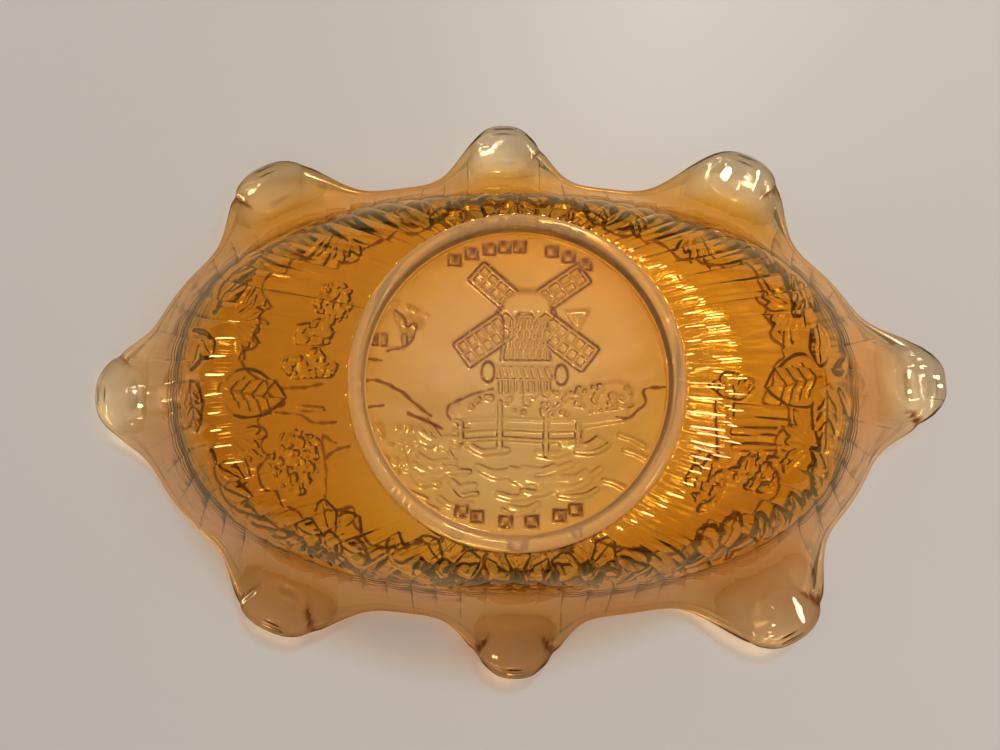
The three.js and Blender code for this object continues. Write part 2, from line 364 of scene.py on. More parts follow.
class Picture:
    """The pressed picture over a plan grid: its height above the plain inner face, and its dark film and
    painted shade.
    """

    def __init__(self, half_length, half_width):
        self.x = np.arange(-half_length, half_length + MAP_PITCH, MAP_PITCH)
        self.y = np.arange(-half_width, half_width + MAP_PITCH, MAP_PITCH)
        self.height = np.zeros((len(self.y), len(self.x)))
        # Dark film, which also stands for painted shade
        self.film = np.zeros_like(self.height)

    def window(self, low, high):
        """The slices of the grid between two corners, and the plan coordinates in them."""
        columns = slice(*np.searchsorted(self.x, (low[0], high[0])))
        rows = slice(*np.searchsorted(self.y, (low[1], high[1])))
        x, y = np.meshgrid(self.x[columns], self.y[rows])
        return (rows, columns), x, y

    def around(self, points, reach):
        points = np.asarray(points, float)
        return self.window(points.min(axis=0) - reach, points.max(axis=0) + reach)

    def lift(self, place, height):
        """Raises the picture to at least a height."""
        self.height[place] = np.maximum(self.height[place], height)

    def sink(self, place, depth):
        """Cuts a depth out of the picture."""
        self.height[place] -= depth

    def darken(self, place, share):
        """Paints dark film and shade to at least a share."""
        self.film[place] = np.maximum(self.film[place], share)

    def blur(self, radius):
        steps = int(3 * radius / MAP_PITCH)
        offsets = np.arange(-steps, steps + 1) * MAP_PITCH
        weights = bell(offsets, radius)
        weights /= weights.sum()
        for axis in (0, 1):
            self.height = sum(
                weight * np.roll(self.height, step, axis)
                for weight, step in zip(weights, range(-steps, steps + 1))
            )

    def film_and_shade(self):
        """How dark the film and painted shade are: where they were drawn, and on steep sides, most where
        they face inward.
        """
        down, across = np.gradient(self.height, MAP_PITCH)
        x, y = np.meshgrid(self.x, self.y)
        radius = np.hypot(x, y) + 1
        facing = np.maximum(0, (across * x + down * y) / radius)
        steepness = np.hypot(across, down) + facing
        sides = smooth((steepness - SIDE_FILM_AND_SHADE_START) / SIDE_FILM_AND_SHADE_SPAN)
        return np.maximum(SIDE_FILM_AND_SHADE * sides, self.film)

    def sample(self, grid, x, y):
        """Values of a grid at plan places, blended between its points."""
        column = np.clip((x - self.x[0]) / MAP_PITCH, 0, len(self.x) - 2)
        row = np.clip((y - self.y[0]) / MAP_PITCH, 0, len(self.y) - 2)
        i = row.astype(int)
        j = column.astype(int)
        u = column - j
        v = row - i
        upper = grid[i, j] * (1 - u) + grid[i, j + 1] * u
        lower = grid[i + 1, j] * (1 - u) + grid[i + 1, j + 1] * u
        return upper * (1 - v) + lower * v


def path_distance(x, y, points):
    """Distance from a path of straight steps."""
    nearest = np.full(x.shape, np.inf)
    for (ax, ay), (bx, by) in zip(points[:-1], points[1:]):
        dx, dy = bx - ax, by - ay
        along = np.clip(((x - ax) * dx + (y - ay) * dy) / (dx * dx + dy * dy + 1e-9), 0, 1)
        nearest = np.minimum(nearest, np.hypot(x - ax - along * dx, y - ay - along * dy))
    return nearest


def outline_distance(x, y, corners):
    """Distance from a closed outline, negative inside it."""
    inside = np.zeros(x.shape, bool)
    for (ax, ay), (bx, by) in zip(corners, corners[1:] + corners[:1]):
        if ay == by:
            continue
        crosses = (ay > y) != (by > y)
        inside ^= crosses & (x < ax + (y - ay) * (bx - ax) / (by - ay))
    distance = path_distance(x, y, corners + corners[:1])
    return np.where(inside, -distance, distance)


def smooth_path(points, steps=8):
    """A smooth curve through the points."""
    points = [np.array(point, float) for point in points]
    ends = [2 * points[0] - points[1], *points, 2 * points[-1] - points[-2]]
    curve = []
    for a, b, c, d in zip(ends, ends[1:], ends[2:], ends[3:]):
        for step in range(steps):
            t = step / steps
            bend = 2 * a - 5 * b + 4 * c - d
            twist = 3 * b - a - 3 * c + d
            curve.append(0.5 * (2 * b + (c - a) * t + bend * t**2 + twist * t**3))
    curve.append(points[-1])
    return [tuple(point) for point in curve]


def heading(angle):
    return np.array([math.cos(math.radians(angle)), math.sin(math.radians(angle))])


def ridge(picture, points, width, height):
    """A rounded ridge along a path."""
    place, x, y = picture.around(points, width)
    distance = path_distance(x, y, points)
    picture.lift(place, height * smooth(1.3 * (1 - distance / (width / 2 + 0.3))))


def groove(picture, points, width, depth):
    place, x, y = picture.around(points, width)
    distance = path_distance(x, y, points)
    picture.sink(place, depth * smooth(1 - distance / width))


def film_and_shade_line(picture, points, width=0.75, share=0.95):
    """A line of dark film and painted shade, wider and narrower along its length."""
    place, x, y = picture.around(points, width)
    distance = path_distance(x, y, points)
    uneven = width * (0.62 + 0.3 * np.sin(1.9 * x + 1.3 * y) * np.sin(0.8 * y - 0.6 * x))
    picture.darken(place, share * smooth(1.3 * (1 - distance / uneven)))


def film_and_shade_curve(picture, width, share, *points):
    """A line of dark film and painted shade along the smooth curve through the points."""
    film_and_shade_line(picture, smooth_path(points), width, share)


def film_and_shade_patch(picture, corners, share=0.7):
    """A dark patch of film and painted shade, with paler streaks."""
    place, x, y = picture.around(corners, 1)
    inside = smooth(0.5 - outline_distance(x, y, corners) / 0.6)
    streaks = 0.62 + 0.38 * np.sin(2.6 * x) * np.sin(1.7 * y)
    picture.darken(place, share * inside * streaks)


def notched(points, depth):
    """A path whose steps each have a notch cut away from the bowl's middle."""
    path = []
    for a, b in zip(points[:-1], points[1:]):
        middle = (np.array(a) + b) / 2
        path += [a, tuple(middle * (1 + depth / np.linalg.norm(middle)))]
    return path + [points[-1]]


def plate(picture, corners, height=PLATE, bevel=BEVEL):
    """A flat raised shape with sloped sides."""
    place, x, y = picture.around(corners, bevel)
    distance = outline_distance(x, y, corners)
    picture.lift(place, height * smooth(-distance / bevel))


def leaf(picture, base, angle, length, half_width, height=PLATE, vein=0.25, fullness=0.8):
    """A domed leaf or petal that starts at its base and points at an angle."""
    base = np.array(base, float)
    along_axis = heading(angle)
    place, x, y = picture.around([base, base + length * along_axis], half_width + 1)
    u = ((x - base[0]) * along_axis[0] + (y - base[1]) * along_axis[1]) / length
    v = (y - base[1]) * along_axis[0] - (x - base[0]) * along_axis[1]
    edge = half_width * np.sin(math.pi * np.clip(u, 0, 1) ** fullness) ** 0.7
    inside = edge - np.abs(v)
    dome = smooth(inside / BEVEL) * (0.75 + 0.25 * smooth(inside / half_width))
    crease = vein * bell(v, 0.28) * smooth(inside / BEVEL) * smooth(6 * u) * smooth(6 - 6 * u)
    keep = (u > 0) & (u < 1)
    picture.lift(place, np.where(keep, height * dome - crease, 0))


def veined_leaf(picture, base, angle, length, half_width):
    """A broad leaf with a midrib and pairs of side veins."""
    leaf(picture, base, angle, length, half_width)
    base = np.array(base, float)
    along, across = heading(angle), heading(angle + 90)
    film_and_shade_line(picture, [tuple(base + along), tuple(base + 0.9 * length * along)], 0.45, 0.7)
    for share in (0.2, 0.36, 0.52, 0.68):
        for side in (-1, 1):
            start = base + share * length * along
            end = start + 0.16 * length * along + 0.62 * half_width * side * across
            groove(picture, [tuple(start), tuple(end)], 0.5, 0.4)
            film_and_shade_line(picture, [tuple(start), tuple(end)], 0.35, 0.55)


def fan(picture, centre, angle, spread, radius, petals):
    """A daisy seen from the side: narrow petals that spread from a centre and end in deep notches."""
    step = spread / petals
    for index in range(petals):
        petal_angle = angle - spread / 2 + (index + 0.5) * step
        reach = radius * (0.92 + 0.08 * math.cos(3.1 * index))
        half_width = 0.46 * radius * math.radians(step)
        leaf(picture, centre, petal_angle, reach, half_width, height=0.65, vein=0.3, fullness=2.2)
        near = np.array(centre) + 0.3 * reach * heading(petal_angle)
        far = np.array(centre) + 0.8 * reach * heading(petal_angle)
        film_and_shade_line(picture, [tuple(near), tuple(far)], 0.3, 0.5)


def flower(picture, centre, angle, radius, petals):
    """A round flower of broad petals about a domed eye."""
    for index in range(petals):
        petal_angle = angle + 360 * index / petals
        base = np.array(centre) + 0.18 * radius * heading(petal_angle)
        half_width = 0.72 * radius * math.sin(math.pi / petals)
        leaf(picture, base, petal_angle, 0.85 * radius, half_width, vein=0.3, fullness=1.2)
    place, x, y = picture.around([centre], 0.3 * radius)
    distance = np.hypot(x - centre[0], y - centre[1])
    picture.lift(place, 0.8 * smooth((0.24 * radius - distance) / 0.5))
    picture.sink(place, 0.3 * bell(distance - 0.27 * radius, 0.25))


def scroll(picture, outer, leaves, lean):
    """A curved rib with leaves that curl inward from it."""
    rib = smooth_path(outer)
    ridge(picture, rib, 1.5, 0.6)
    film_and_shade_line(picture, rib, 0.5, 0.8)
    for index in range(leaves):
        at = rib[int((index + 0.7) / leaves * (len(rib) - 1))]
        inward = math.degrees(math.atan2(-at[1], -at[0]))
        start = np.array(at) + 0.6 * heading(inward)
        length = 7.5 + 1.2 * math.sin(2.4 * index)
        angle = inward + lean
        leaf(picture, start, angle, length, 2.3, vein=0.35)
        curl = [
            start + share * length * heading(angle + 26 * share) for share in (0.2, 0.45, 0.75, 0.95)
        ]
        groove(picture, smooth_path(curl), 0.4, 0.25)


# The wreath's inner edge as two curves, each from the back to the front
WREATH_LEFT = [
    (-12, 31.5), (-20, 30), (-27, 28.6), (-33, 24), (-37, 23), (-42, 24), (-44.1, 25.9),
    (-48.3, 22.9), (-53.2, 20.4), (-50.5, 15.4), (-53.2, 11.4), (-53.4, 7), (-57.4, 5.1),
    (-51.3, -0.4), (-46.5, -4.7), (-51.7, -6.8), (-50.4, -10.4), (-50.1, -15.4), (-52.2, -19),
    (-48.2, -22.5), (-43.5, -26.1), (-40.2, -26.5), (-37.2, -25.3), (-31.7, -25.1),
    (-30.3, -29.7), (-24, -32.5), (-18, -31.5), (-12.9, -30), (-6.5, -32.6), (0.5, -31.2),
]
WREATH_RIGHT = [
    (12, 31.5), (20, 30), (26, 29), (32.8, 26), (37.9, 25.1), (44.1, 24.2), (47.4, 26.3),
    (51.1, 21.7), (50, 17.9), (51.3, 14.8), (52.6, 10.4), (55.2, 7.4), (53.2, 4.8),
    (50.3, -2.7), (56.5, -4.4), (53.3, -10.2), (51.4, -15.1), (54.5, -19.4), (50.3, -23.4),
    (45, -26.1), (39, -26.8), (35.6, -31), (29, -32.6), (22, -31.6), (14, -29.9), (7, -32.6),
    (0.5, -31.2),
]
# Daisies seen from the side: centre, angle, spread, radius and petals
DAISIES = (
    ((-60.4, 12.8), -4, 136, 9.6, 9),
    ((-59.5, -11), -24, 80, 9.6, 6),
    ((-37.6, 33), -92, 92, 9.6, 7),
    ((59.6, 17.2), 200, 128, 9.4, 10),
    ((63.2, -11.8), 170, 96, 9.6, 7),
    ((38.5, 33.5), 258, 80, 9.2, 6),
)
# Leaves at the two ends: kind, base, angle, length and half width
END_LEAVES = (
    (veined_leaf, (-62, -1.4), -8, 16, 5.2),
    (leaf, (-70, 3), 70, 9, 2.6),
    (veined_leaf, (-70.5, 1), -75, 12, 3.2),
    (leaf, (-64, 6), 140, 9, 2.8),
    (veined_leaf, (66.5, 3.2), 192, 16, 5.6),
    (veined_leaf, (66.8, 2), -93, 15.5, 4.4),
    (leaf, (65, 5.5), 88, 9, 3),
    (leaf, (68.5, 4), 28, 8, 1.8),
    (leaf, (70, 1), -50, 8, 1.8),
)
# Scrolls at the four corners: the lean of their leaves, and the rib
SCROLLS = (
    (30, [(-64.6, 16), (-64.6, 21.5), (-63, 26), (-58.8, 31), (-54.8, 33.8), (-49.5, 35.3)]),
    (-30, [(-63.6, -15), (-63.2, -20), (-61, -25), (-58, -29), (-53, -31.8), (-48, -33)]),
    (30, [(51, 36.4), (57.5, 33.3), (61, 30.4), (63.5, 27), (64, 23), (63.6, 19.5)]),
    (-30, [(67, -14), (68.6, -19.6), (66.5, -24.3), (63, -28.4), (58, -30.6), (53, -31)]),
)


def draw_wreath(picture):
    for outline in (WREATH_LEFT, WREATH_RIGHT):
        film_and_shade_line(picture, smooth_path(notched(outline, 1.3)))
    for daisy in DAISIES:
        fan(picture, *daisy)
    for draw, *facts in END_LEAVES:
        draw(picture, *facts)
    flower(picture, (43.6, -33.9), 20, 8.4, 6)
    flower(picture, (-36.9, -31.8), 40, 8, 6)
    for x, y, angle in ((-13.5, -36, 10), (0.5, -37.6, 30), (14.5, -36, 50)):
        flower(picture, (x, y), angle, 7, 6)
        fan(picture, (x, y + 2), 90, 110, 4, 5)
    for x, y, angle in ((-12, 36.4, 20), (0, 37.6, 0), (12, 36.4, 35)):
        flower(picture, (x, y), angle, 6.5, 6)
        fan(picture, (x, y - 2), 270, 110, 4, 5)
    for x, y, angle in ((-25, 36, -30), (25, 36, 210), (-24, -35.5, 25), (28, -36, 160)):
        leaf(picture, (x, y), angle, 9, 2.8)
        leaf(picture, (x, y), angle + 55, 6.5, 2)
    for lean, rib in SCROLLS:
        scroll(picture, rib, 6, lean)


def sail(picture, hub, tip, half_width, bars):
    """A lattice sail: a frame with a slat floor and cross bars."""
    hub = np.array(hub, float)
    tip = np.array(tip, float)
    length = np.linalg.norm(tip - hub)
    along = (tip - hub) / length
    across = np.array([-along[1], along[0]]) * half_width
    start = hub + 0.1 * (tip - hub)
    corners = [tuple(start - across), tuple(tip - across), tuple(tip + across), tuple(start + across)]
    plate(picture, corners, 0.35)
    for a, b in zip(corners, corners[1:] + corners[:1]):
        ridge(picture, [a, b], 0.8, 1)
    ridge(picture, [tuple(start), tuple(tip)], 0.6, 0.8)
    for index in range(1, bars):
        middle = start + (tip - start) * index / bars
        ridge(picture, [tuple(middle - across), tuple(middle + across)], 0.6, 0.8)


def draw_windmill(picture):
    hub = (1.6, 14)
    sail(picture, hub, (-8.2, 22.4), 2.1, 5)
    sail(picture, hub, (13.4, 22.4), 2, 5)
    sail(picture, (0.6, 13.6), (-10.8, 5.4), 2.6, 6)
    sail(picture, (2.6, 13.6), (14.6, 4.8), 2.6, 6)
    plate(picture, [(9.2, 14.8), (15, 15.2), (12.2, 9.4)], 0.5)
    groove(picture, [(10.6, 14), (13.6, 14.1), (12.2, 11.2), (10.6, 14)], 0.4, 0.3)
    tower = [(-2.7, 13.4), (6.7, 13.4), (6.5, 9), (7.4, 4.1), (-3.1, 4.1), (-2.3, 9)]
    plate(picture, tower, 0.85, 0.8)
    for row in range(4):
        for column in range(7):
            x = -1.8 + 1.25 * column + 0.6 * (row % 2)
            y = 5 + 2 * row
            groove(picture, [(x, y), (x + 0.15, y + 1.5)], 0.45, 0.6)
    film_and_shade_curve(picture, 0.65, 0.9, (-2.9, 15.4), (-4.3, 14.2), (-2.9, 13), (-2.7, 9.4), (-3.3, 4.4))
    film_and_shade_curve(picture, 0.65, 0.9, (6.9, 15.4), (7.9, 14), (6.9, 12.6))
    cap = smooth_path(
        [(-3.9, 15), (-3, 17.4), (-0.6, 19), (2.1, 19.3), (4.8, 19), (7, 17.6), (7.9, 15.2)]
    )
    plate(picture, cap + [(7, 13.2), (-3, 13.2)], 1.0, 1.3)
    plate(picture, [(-4.3, 3.5), (7.6, 3.5), (7.8, 0.3), (-4.5, 0.3)], 0.75)
    for index in range(8):
        x = -3.4 + 1.45 * index
        groove(picture, [(x, 2.9), (x + 0.6, 1.1)], 0.45, 0.5)
    # Two round knobs, each ringed with dark film and painted shade
    for x, y in ((-5.7, 2), (9, 1.6)):
        place, gx, gy = picture.around([(x, y)], 2.4)
        from_middle = np.hypot((gx - x) * 1.2, (gy - y) * 0.75)
        picture.lift(place, 0.95 * smooth((1.9 - from_middle) / 0.7))
        picture.darken(place, 0.85 * smooth(1 - np.abs(from_middle - 1.5) / 0.5))
    for index in range(9):
        x = -3.2 + 1.2 * index
        ridge(picture, [(x, 0), (x + 0.1, -2)], 0.7, 0.7)


def draw_foliage(picture, edge, bumps, rise, seed):
    """A bank of round bushes inside an edge."""
    chance = np.random.default_rng(seed)
    low, high = np.min(edge, axis=0), np.max(edge, axis=0)
    for _ in range(bumps):
        x, y = chance.uniform(low, high)
        radius = chance.uniform(0.6, 1.5)
        place, gx, gy = picture.window((x - radius, y - radius), (x + radius, y + radius))
        keep = outline_distance(gx, gy, edge) < 0.4
        dome = smooth(1 - np.hypot(gx - x, gy - y) / radius)
        picture.lift(place, np.where(keep, rise * dome, 0))


BLOCK_RADIUS = 29.2
BLOCK_HALF = 1.6
BACK_BLOCKS = (-12.8, -9.4, -5.8, -2.6, 0.4, 7, 10.4, 13.8)
FRONT_BLOCKS = (-10.6, -7.5, -1.8, 3.3, 8.8, 11.9)


def draw_blocks(picture, middles, side):
    """A row of small raised blocks inside the foot ring, darkened with dark film and painted shade,
    behind (side 1) or in front (side -1).
    """
    for middle in middles:
        y = side * (math.sqrt(BLOCK_RADIUS**2 - middle**2) - BLOCK_HALF)
        low, high = y - 0.9 * BLOCK_HALF, y + 0.9 * BLOCK_HALF
        left, right = middle - BLOCK_HALF, middle + BLOCK_HALF
        block = [(left, low), (right, low), (right, high), (left, high)]
        plate(picture, block, 0.8, 0.8)
        film_and_shade_patch(picture, block, 0.95)


def draw_bank(picture):
    """The mill's bank with its bushes, and the fence before it."""
    bank = smooth_path(
        [(-13.2, -6.4), (-12.6, -4.2), (-10, -2.6), (-5, -2.2), (4, -1.6), (14, -1), (20, 0.8), (24, -1)]
    )
    plate(picture, bank + [(22, -7.8), (10, -9.8), (-8, -10.2)], 0.3)
    bushes = [(-12, -5), (-6, -3), (22, 0), (24, -4), (10, -6.5), (-10, -6.5)]
    draw_foliage(picture, bushes, 110, 0.9, 3)
    for y, lift in ((-7.3, 0.55), (-9.2, 0.5), (-11.3, 0.5)):
        rail = smooth_path([(-12, y - 0.6), (-3.5, y), (5.6, y - 0.3), (13, y - 0.1)])
        ridge(picture, rail, 0.6, lift)
    for x, top, bottom in ((-11, -8, -12), (-3.2, -4, -13.4), (6, -5.8, -14.4), (12.4, -8.2, -12.6)):
        ridge(picture, [(x, top), (x, bottom)], 1.1, 0.8)


def draw_shores(picture):
    film_and_shade_curve(picture, 0.9, 1, (-30.4, 0), (-27.4, -0.2), (-23, -2.2), (-20, -4.8), (-17, -7))
    film_and_shade_curve(picture, 0.9, 1, (-21.5, -6.6), (-18, -7.9), (-14.6, -9.4))
    film_and_shade_curve(picture, 0.7, 1, (-30, -5.6), (-28, -5.2), (-26.4, -5))
    right_shore = [(29.6, -0.6), (25.6, -1.2), (25.8, -3.8), (24, -5.6), (22.2, -7), (20, -6.7)]
    film_and_shade_curve(picture, 0.8, 1, *right_shore)
    bank_edge = [(-13, -7.6), (-13.4, -4.8), (-10.6, -3.4), (-7.8, -2.2), (-4.6, -1.4)]
    film_and_shade_curve(picture, 0.7, 0.9, *notched(bank_edge, 0.6))


def draw_house(picture):
    """The house at the left, with windows darkened by dark film and painted shade, and trees."""
    roof = [
        (-24.5, 14.2), (-22.8, 12.6), (-22.2, 10.8), (-20.4, 11.6), (-20.8, 8.6), (-22.4, 7), (-25.8, 6),
    ]
    film_and_shade_curve(picture, 0.8, 1, *roof)
    film_and_shade_curve(picture, 0.7, 0.9, (-29.6, 4.2), (-27, 4.1))
    plate(picture, [(-30, 6.9), (-22.6, 6), (-22, 7.6), (-23, 10.6), (-25, 14.4), (-30, 12)], 0.4)
    for x in (-28.4, -26.6, -22.6):
        window = [(x - 0.8, 6.9), (x + 0.7, 6.9), (x + 0.7, 9.7), (x - 0.8, 9.7)]
        plate(picture, window, 0.85, 0.35)
        film_and_shade_patch(picture, window, 0.95)
    draw_foliage(picture, [(-30, 10), (-20, 9), (-18, 13), (-24, 16), (-28, 15)], 26, 0.45, 5)
    draw_foliage(picture, [(-28, -9), (-18, -9), (-14, -16), (-24, -19)], 34, 0.4, 8)


def draw_waves(picture):
    chance = np.random.default_rng(17)
    for _ in range(34):
        x = chance.uniform(-18, 18)
        y = chance.uniform(-26, -14) + 0.012 * x * x
        reach = chance.uniform(2, 5)
        bow = 0.05 * x + chance.uniform(-0.3, 0.3)
        wave = smooth_path([
            (x - reach, y + 0.5 - bow), (x - 0.3 * reach, y - 0.3), (x + 0.4 * reach, y),
            (x + reach, y + 0.6 + bow),
        ])
        ridge(picture, wave, chance.uniform(0.8, 1.8), chance.uniform(0.35, 0.6))


def draw_base_scene(picture):
    """What is pressed under the base, but for the mill."""
    draw_bank(picture)
    draw_shores(picture)
    draw_house(picture)
    draw_waves(picture)
    draw_blocks(picture, BACK_BLOCKS, 1)
    draw_blocks(picture, FRONT_BLOCKS, -1)
    ridge(picture, [(-17.8, -7.6), (-15, -11.2), (-12.6, -15)], 0.45, 0.4)
    for x, y, length in ((23, -11, 5), (24, -14, 5), (20, -20, 5), (-21, -22, 7), (-19, -24, 7)):
        ripple = smooth_path([(x - length / 2, y + 0.8), (x, y), (x + length / 2, y - 1.4)])
        ridge(picture, ripple, 0.8, 0.4)


def crown(x, y, half_length, half_width):
    """The uneven round outline of a tree's crown."""
    outline = []
    for step in range(10):
        swell = 0.9 + 0.16 * math.sin(2.7 * step + x)
        along, across = heading(36 * step)
        outline.append((x + swell * half_length * along, y + swell * half_width * across))
    return outline


# Tree crowns beyond the foot ring: middle, half length, half width and seed of the bushes
LEFT_TREES = ((-37, 16, 4, 5, 11), (-41, 9.6, 4.5, 2.6, 12), (-42, 3, 6, 3, 13), (-44, -16, 6, 7, 14))
RIGHT_TREES = ((44, 0, 5, 2.4, 21), (50, -17, 7, 4, 22), (38, -19, 4, 6, 23))


def draw_side_scenes(picture):
    """Trees, shores, posts and rails beyond the foot ring, under the wall."""
    for trees, bumps, rise in ((LEFT_TREES, 90, 0.8), (RIGHT_TREES, 80, 0.75)):
        for *shape, seed in trees:
            draw_foliage(picture, crown(*shape), bumps, rise, seed)
    for shore in (
        [(-47, -1.6), (-42.4, -1.5), (-38.6, -0.9)],
        [(-48.6, -6.2), (-44, -6.8), (-40, -8.4), (-35.5, -8.2)],
        [(-37.6, -24.6), (-37.5, -18), (-38.4, -12), (-37.6, -11.2), (-35.6, -12.6)],
        [(-38, -15.4), (-35.4, -13.8), (-32.7, -13.1)],
    ):
        film_and_shade_curve(picture, 0.7, 0.85, *shore)
    plate(picture, [(-45, -4.6), (-38, -5), (-37.6, -6.8), (-43, -6.2)], 0.6)
    plate(picture, [(39.4, -2.9), (42.8, -2.7), (43.4, -16), (40.2, -16)], 0.55)
    plate(picture, [(43.5, -3.4), (57.6, -3.6), (57.6, -6.6), (43.5, -6.4)], 0.45)
    for y in (-9, -12.3):
        ridge(picture, [(43.6, y), (53.6, y - 0.1)], 1.2, 0.5)
    film_and_shade_curve(picture, 0.7, 0.8, (34.6, -13.8), (38, -14.6), (40.4, -14.8))
    film_and_shade_curve(picture, 0.7, 0.8, (38, -19), (41.4, -17), (45, -15.6), (49, -13.4))


def pressed_picture():
    picture = Picture(BORDER_HALF_LENGTH + 4, BORDER_HALF_WIDTH + 4)
    draw_base_scene(picture)
    draw_windmill(picture)
    draw_side_scenes(picture)
    draw_wreath(picture)
    picture.blur(PICTURE_BLUR)
    return picture


# ---------- Meshes ----------

class Mesh:
    """Points, faces and point values of a piece, gathered from several sheets."""

    def __init__(self):
        self.points = []
        self.faces = []
        self.materials = []
        self.values = {"run": [], "film_and_shade": [], "clear": []}
        self.count = 0

    def add_points(self, points, run, film_and_shade, clear):
        flat = points.reshape(-1, 3)
        start = self.count
        self.points.append(flat)
        for name, value in (("run", run), ("film_and_shade", film_and_shade), ("clear", clear)):
            self.values[name].append(np.broadcast_to(value, points.shape[:-1]).reshape(-1))
        self.count += len(flat)
        return start + np.arange(len(flat)).reshape(points.shape[:-1])

    def add_faces(self, faces, material):
        faces = np.asarray(faces, int).reshape(-1, 4)
        self.faces.append(faces)
        self.materials.append(np.full(len(faces), material))

    def add_sheet(self, index, flip=False, material=0):
        """Faces between the rows and columns of a grid of point numbers."""
        a, b = index[:-1, :-1], index[1:, :-1]
        c, d = index[1:, 1:], index[:-1, 1:]
        corners = (d, c, b, a) if flip else (a, b, c, d)
        self.add_faces(np.stack(corners, axis=-1), material)

    def zip_rows(self, first, second, material=1):
        """A strip between two rows of point numbers that run side by side."""
        faces = []
        i = j = 0
        while i < len(first) - 1 or j < len(second) - 1:
            ahead = (i + 1) / (len(first) - 1) <= (j + 1) / (len(second) - 1)
            if j == len(second) - 1 or (ahead and i < len(first) - 1):
                faces.append((first[i], first[i + 1], second[j], second[j]))
                i += 1
            else:
                faces.append((first[i], second[j + 1], second[j], second[j]))
                j += 1
        self.add_faces(faces, material)

    def build(self, name, materials):
        points = np.concatenate(self.points)
        points = (points + (FOOT_X, FOOT_Y, 0)) * METRES
        points[:, 2] = np.maximum(points[:, 2], 0)
        faces = np.concatenate(self.faces)
        is_triangle = faces[:, 2] == faces[:, 3]
        sizes = np.where(is_triangle, 3, 4)
        keep = np.ones(faces.shape, bool)
        keep[is_triangle, 3] = False
        mesh = bpy.data.meshes.new(name)
        mesh.vertices.add(len(points))
        mesh.vertices.foreach_set("co", points.ravel())
        mesh.loops.add(int(sizes.sum()))
        mesh.loops.foreach_set("vertex_index", faces[keep].ravel())
        mesh.polygons.add(len(faces))
        starts = np.concatenate([[0], np.cumsum(sizes)[:-1]])
        mesh.polygons.foreach_set("loop_start", starts)
        material_index = np.concatenate(self.materials)
        mesh.polygons.foreach_set("material_index", material_index)
        mesh.polygons.foreach_set("use_smooth", material_index == 0)
        for key, values in self.values.items():
            layer = mesh.attributes.new(key, "FLOAT", "POINT")
            layer.data.foreach_set("value", np.concatenate(values).astype(np.float32))
        for material in materials:
            mesh.materials.append(material)
        mesh.update()
        mesh.validate()
        piece = bpy.data.objects.new(name, mesh)
        bpy.context.scene.collection.objects.link(piece)
        return piece


def panel_sides(index):
    """The flute lines on which a panel meets its neighbours."""
    here = RIM_POINTS[index]
    if here.panel_flutes:
        return here.flute - here.panel_flutes, here.flute + here.panel_flutes
    before = RIM_POINTS[index - 1]
    after = RIM_POINTS[(index + 1) % len(RIM_POINTS)]
    after_flute = after.flute or FLUTES
    return before.flute + before.panel_flutes, after_flute - after.panel_flutes


def turn_columns(first, last, in_flute):
    """Turns of a panel's columns, which stand at the same places in every flute."""
    columns = [flute + place for flute in range(first, last) for place in in_flute]
    return np.array(columns + [last]) / FLUTES


def even_rows(turn, first_run, last_run, pitch):
    """Run values that are evenly spaced along the skin at the middle of a panel."""
    run = np.linspace(first_run, last_run, 200)
    points = skin_point(np.full_like(run, turn), run)
    length = running_length(points)
    rows = int(length[-1] / pitch)
    return np.interp(np.linspace(0, length[-1], rows + 1), length, run), length[-1]


def close_rows(run, border_run, span):
    """Run values with extra ones beside the border, fine enough for its lines."""
    reach = (BORDER_LINES[-1] + 3 * BORDER_LINE_WIDTH) / span
    near = np.arange(0, reach, 0.1 / span)
    near = border_run + near if run[0] >= border_run else border_run - near[::-1]
    far = run[np.abs(run - border_run) > reach]
    return np.sort(np.concatenate([far, near]))


def striae(turn, run):
    """Fine uneven streaks that run from the foot to the border on the inner face."""
    coarse = np.sin(2 * math.pi * STREAKS_COARSE * turn)
    fine = np.sin(2 * math.pi * STREAKS_FINE * turn + 5 * run)
    return STREAK_DEPTH * (coarse + fine) * smooth(run / 0.1) * smooth((1 - run) / 0.1)


def brick_darkening(turn, from_border):
    """Darker amber patches, one to a flute, beside the border at the left and the front right."""
    flute = np.floor(turn * FLUTES)
    shade = 0.5 + 0.5 * np.sin(2.4 * flute)
    along = smooth((from_border + BRICK_LENGTH) / 1.2) * smooth((-2.4 - from_border) / 0.6)
    row = sum(share * smooth(1 - np.abs(turn - place) / reach) for place, reach, share in BRICK_ROWS)
    return BRICK_DARKENING * shade * along * row


